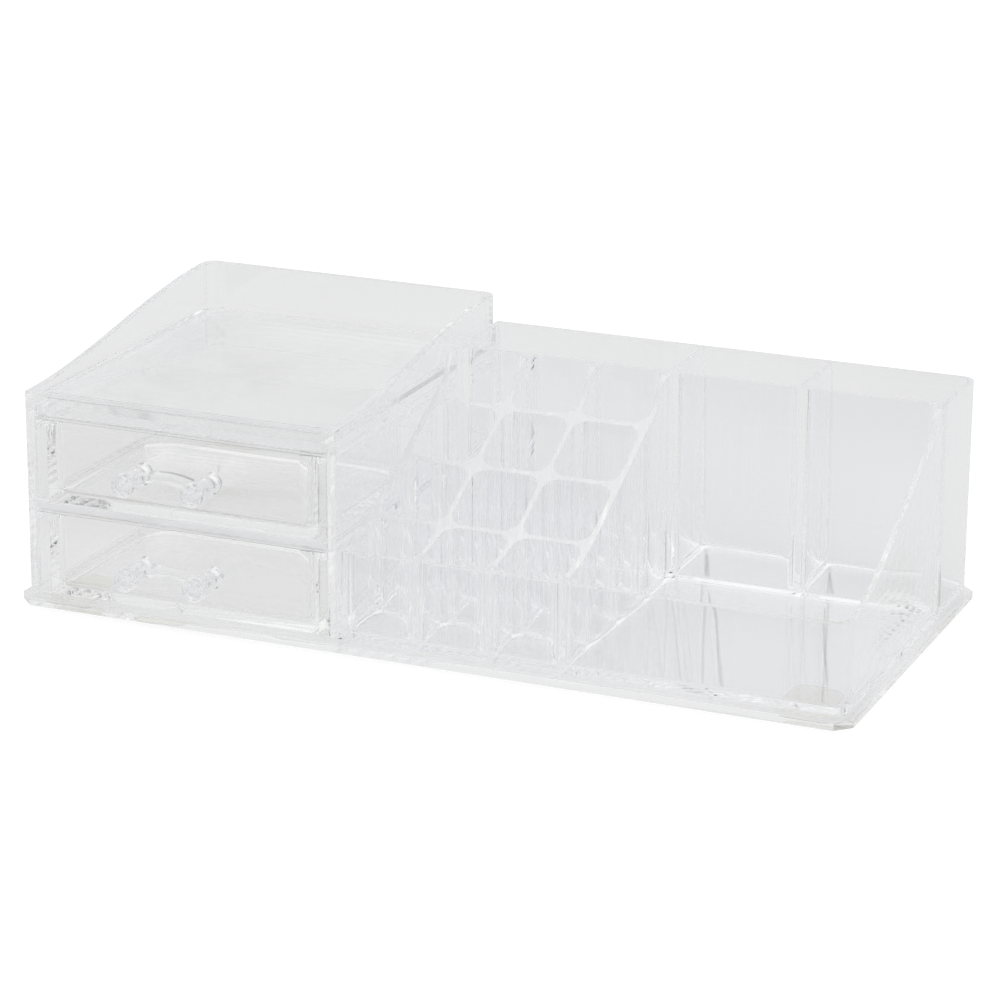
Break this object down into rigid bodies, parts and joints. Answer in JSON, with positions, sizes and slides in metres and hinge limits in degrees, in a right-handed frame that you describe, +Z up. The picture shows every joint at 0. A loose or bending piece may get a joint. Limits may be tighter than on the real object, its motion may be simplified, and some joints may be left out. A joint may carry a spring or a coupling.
{
  "type": "make-up organizer with drawers",
  "caption": "Clear moulded make-up organizer: a drawer cabinet with a tray on top beside a sloped block of lipstick cells, rear bins and a front tray, on one base plate.",
  "frame": {"origin": "middle of the object's footprint, handles included, on the surface that it stands on", "axes": "+X to the right, +Y to the rear, +Z up; the drawers open towards -Y"},
  "size_m": [0.32, 0.1656, 0.097],
  "materials": {
    "clear_moulding": "water-clear polished plastic",
    "clear_drawer": "water-clear polished plastic",
    "clear_handle": "water-clear polished plastic, bright edges",
    "soft_foot": "clear soft pad, faintly yellow"
  },
  "bodies": {
    "frame": {"base_plate": "clear_moulding", "organizer_body": "clear_moulding", "cabinet_shell": "clear_moulding", "cabinet_shelf": "clear_moulding", "foot_front_left": "soft_foot", "foot_front_right": "soft_foot", "foot_rear_left": "soft_foot", "foot_rear_right": "soft_foot"},
    "lower_drawer": {"lower_drawer": "clear_drawer", "lower_handle_bow": "clear_handle", "lower_stud_left": "clear_handle", "lower_stud_right": "clear_handle"},
    "upper_drawer": {"upper_drawer": "clear_drawer", "upper_handle_bow": "clear_handle", "upper_stud_left": "clear_handle", "upper_stud_right": "clear_handle"}
  },
  "joints": [
    {"name": "lower_drawer_slide", "type": "slide", "parent": "frame", "child": "lower_drawer", "axis": [0, -1, 0], "range_m": [0, 0.11]},
    {"name": "upper_drawer_slide", "type": "slide", "parent": "frame", "child": "upper_drawer", "axis": [0, -1, 0], "range_m": [0, 0.11]}
  ]
}
